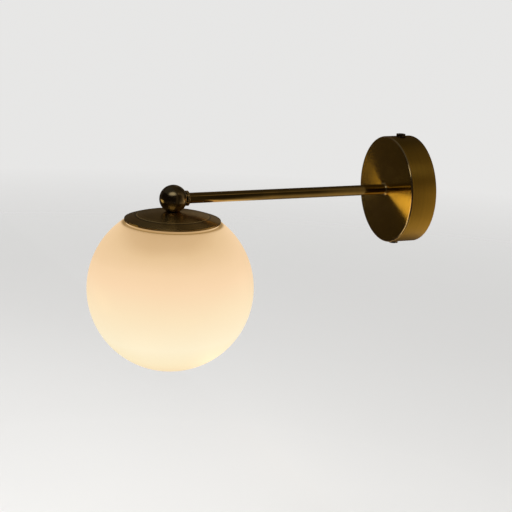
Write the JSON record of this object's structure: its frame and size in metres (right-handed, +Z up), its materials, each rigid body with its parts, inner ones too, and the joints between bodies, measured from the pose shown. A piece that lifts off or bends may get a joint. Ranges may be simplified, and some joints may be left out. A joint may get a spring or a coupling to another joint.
{
  "type": "globe wall sconce",
  "caption": "Wall light with a round brass canopy, a straight arm, a brass ball elbow and a shallow cap over a lit opal glass globe that pulls down to reach the bulb.",
  "frame": {"origin": "centre of the canopy's back rim, on the wall", "axes": "-Y runs out of the wall along the arm, +Z is up, X is sideways along the wall"},
  "size_m": [0.15, 0.315, 0.2094],
  "materials": {
    "canopy_brass": "aged brass, spun with fine rings, satin lacquer",
    "arm_brass": "aged brass, brushed, satin lacquer",
    "ball_brass": "dark aged brass, polished",
    "cap_bronze": "dark aged brass, spun, satin lacquer",
    "screw_bronze": "dark aged brass, knurled",
    "plain_brass": "turned, unlacquered",
    "zinc_steel": "zinc plated",
    "spring_steel": "rolled, oiled",
    "tinned_copper": "tin plated",
    "opal_glass": "opal white, satin, lit warm",
    "gasket_silicone": "matt silicone",
    "holder_plastic": "moulded, semi-gloss black",
    "core_ceramic": "pressed, unglazed",
    "base_nickel": "nickel plated, rolled thread",
    "insulator_black": "black glaze",
    "bulb_white": "moulded, semi-gloss white",
    "bulb_opal": "frosted diffuser, lit",
    "board_white": "white solder mask with yellow LED chips",
    "board_green": "green solder mask",
    "block_nylon": "moulded nylon",
    "wire_brown": "soft insulation",
    "wire_blue": "soft insulation",
    "wire_green": "soft insulation"
  },
  "bodies": {
    "lamp": {"wall_bracket": "zinc_steel", "earth_screw": "zinc_steel", "earth_washer": "zinc_steel", "earth_ring_terminal": "tinned_copper", "terminal_block": "block_nylon", "terminal_barrels": "plain_brass", "terminal_wire_screws": "zinc_steel", "terminal_fixing_screws": "zinc_steel", "canopy": "canopy_brass", "canopy_collar": "arm_brass", "arm_washer": "zinc_steel", "arm_nut": "plain_brass", "arm_tube": "arm_brass", "ball_collar": "arm_brass", "ball_elbow": "ball_brass", "head_nipple": "plain_brass", "globe_cap": "cap_bronze", "spring_gallery": "spring_steel", "head_washer": "zinc_steel", "head_nut": "plain_brass", "neck_gasket": "gasket_silicone", "lampholder_cap": "holder_plastic", "lampholder_body": "holder_plastic", "lampholder_core": "core_ceramic", "lampholder_shell": "plain_brass", "lampholder_contact": "plain_brass", "lampholder_terminals": "plain_brass", "lampholder_clamp_screws": "zinc_steel", "live_wire": "wire_brown", "neutral_wire": "wire_blue", "earth_wire": "wire_green"},
    "globe": {"glass_globe": "opal_glass"},
    "bulb": {"bulb_base": "base_nickel", "bulb_insulator": "insulator_black", "bulb_contact": "tinned_copper", "bulb_housing": "bulb_white", "bulb_led_board": "board_white", "bulb_driver": "board_green", "bulb_diffuser": "bulb_opal"},
    "top_screw": {"top_side_screw": "screw_bronze"},
    "bottom_screw": {"bottom_side_screw": "screw_bronze"}
  },
  "joints": [
    {"name": "globe_pull", "type": "slide", "parent": "lamp", "child": "globe", "axis": [0, 0, -1], "range_m": [0, 0.115]},
    {"name": "bulb_unscrew", "type": "slide", "parent": "lamp", "child": "bulb", "axis": [0, 0, -1], "range_m": [0, 0.022]},
    {"name": "top_screw_out", "type": "slide", "parent": "lamp", "child": "top_screw", "axis": [0, 0, 1], "range_m": [0, 0.007]},
    {"name": "bottom_screw_out", "type": "slide", "parent": "lamp", "child": "bottom_screw", "axis": [0, 0, -1], "range_m": [0, 0.007]}
  ]
}
